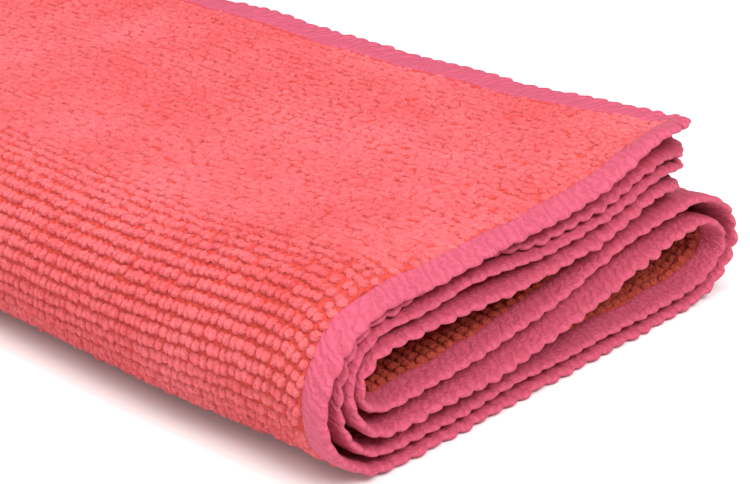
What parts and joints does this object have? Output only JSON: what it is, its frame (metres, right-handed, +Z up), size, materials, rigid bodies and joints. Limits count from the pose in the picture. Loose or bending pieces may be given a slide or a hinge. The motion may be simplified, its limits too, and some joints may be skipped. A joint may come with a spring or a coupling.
{
  "type": "microfiber cloth",
  "caption": "Square terry microfiber cleaning cloth with an overlocked hem, folded in half and then twice across into a flat stack.",
  "frame": {"origin": "on the surface the cloth lies on, under the middle of its bounding box", "axes": "+Z up; +Y along the folded stack, from the open hemmed end to the first fold; +X from the left bends to the free ends"},
  "size_m": [0.1048, 0.2002, 0.0358],
  "materials": {
    "terry": "coral red looped microfiber terry, matt"
  },
  "bodies": {
    "root": {"cloth": "terry"}
  },
  "joints": []
}
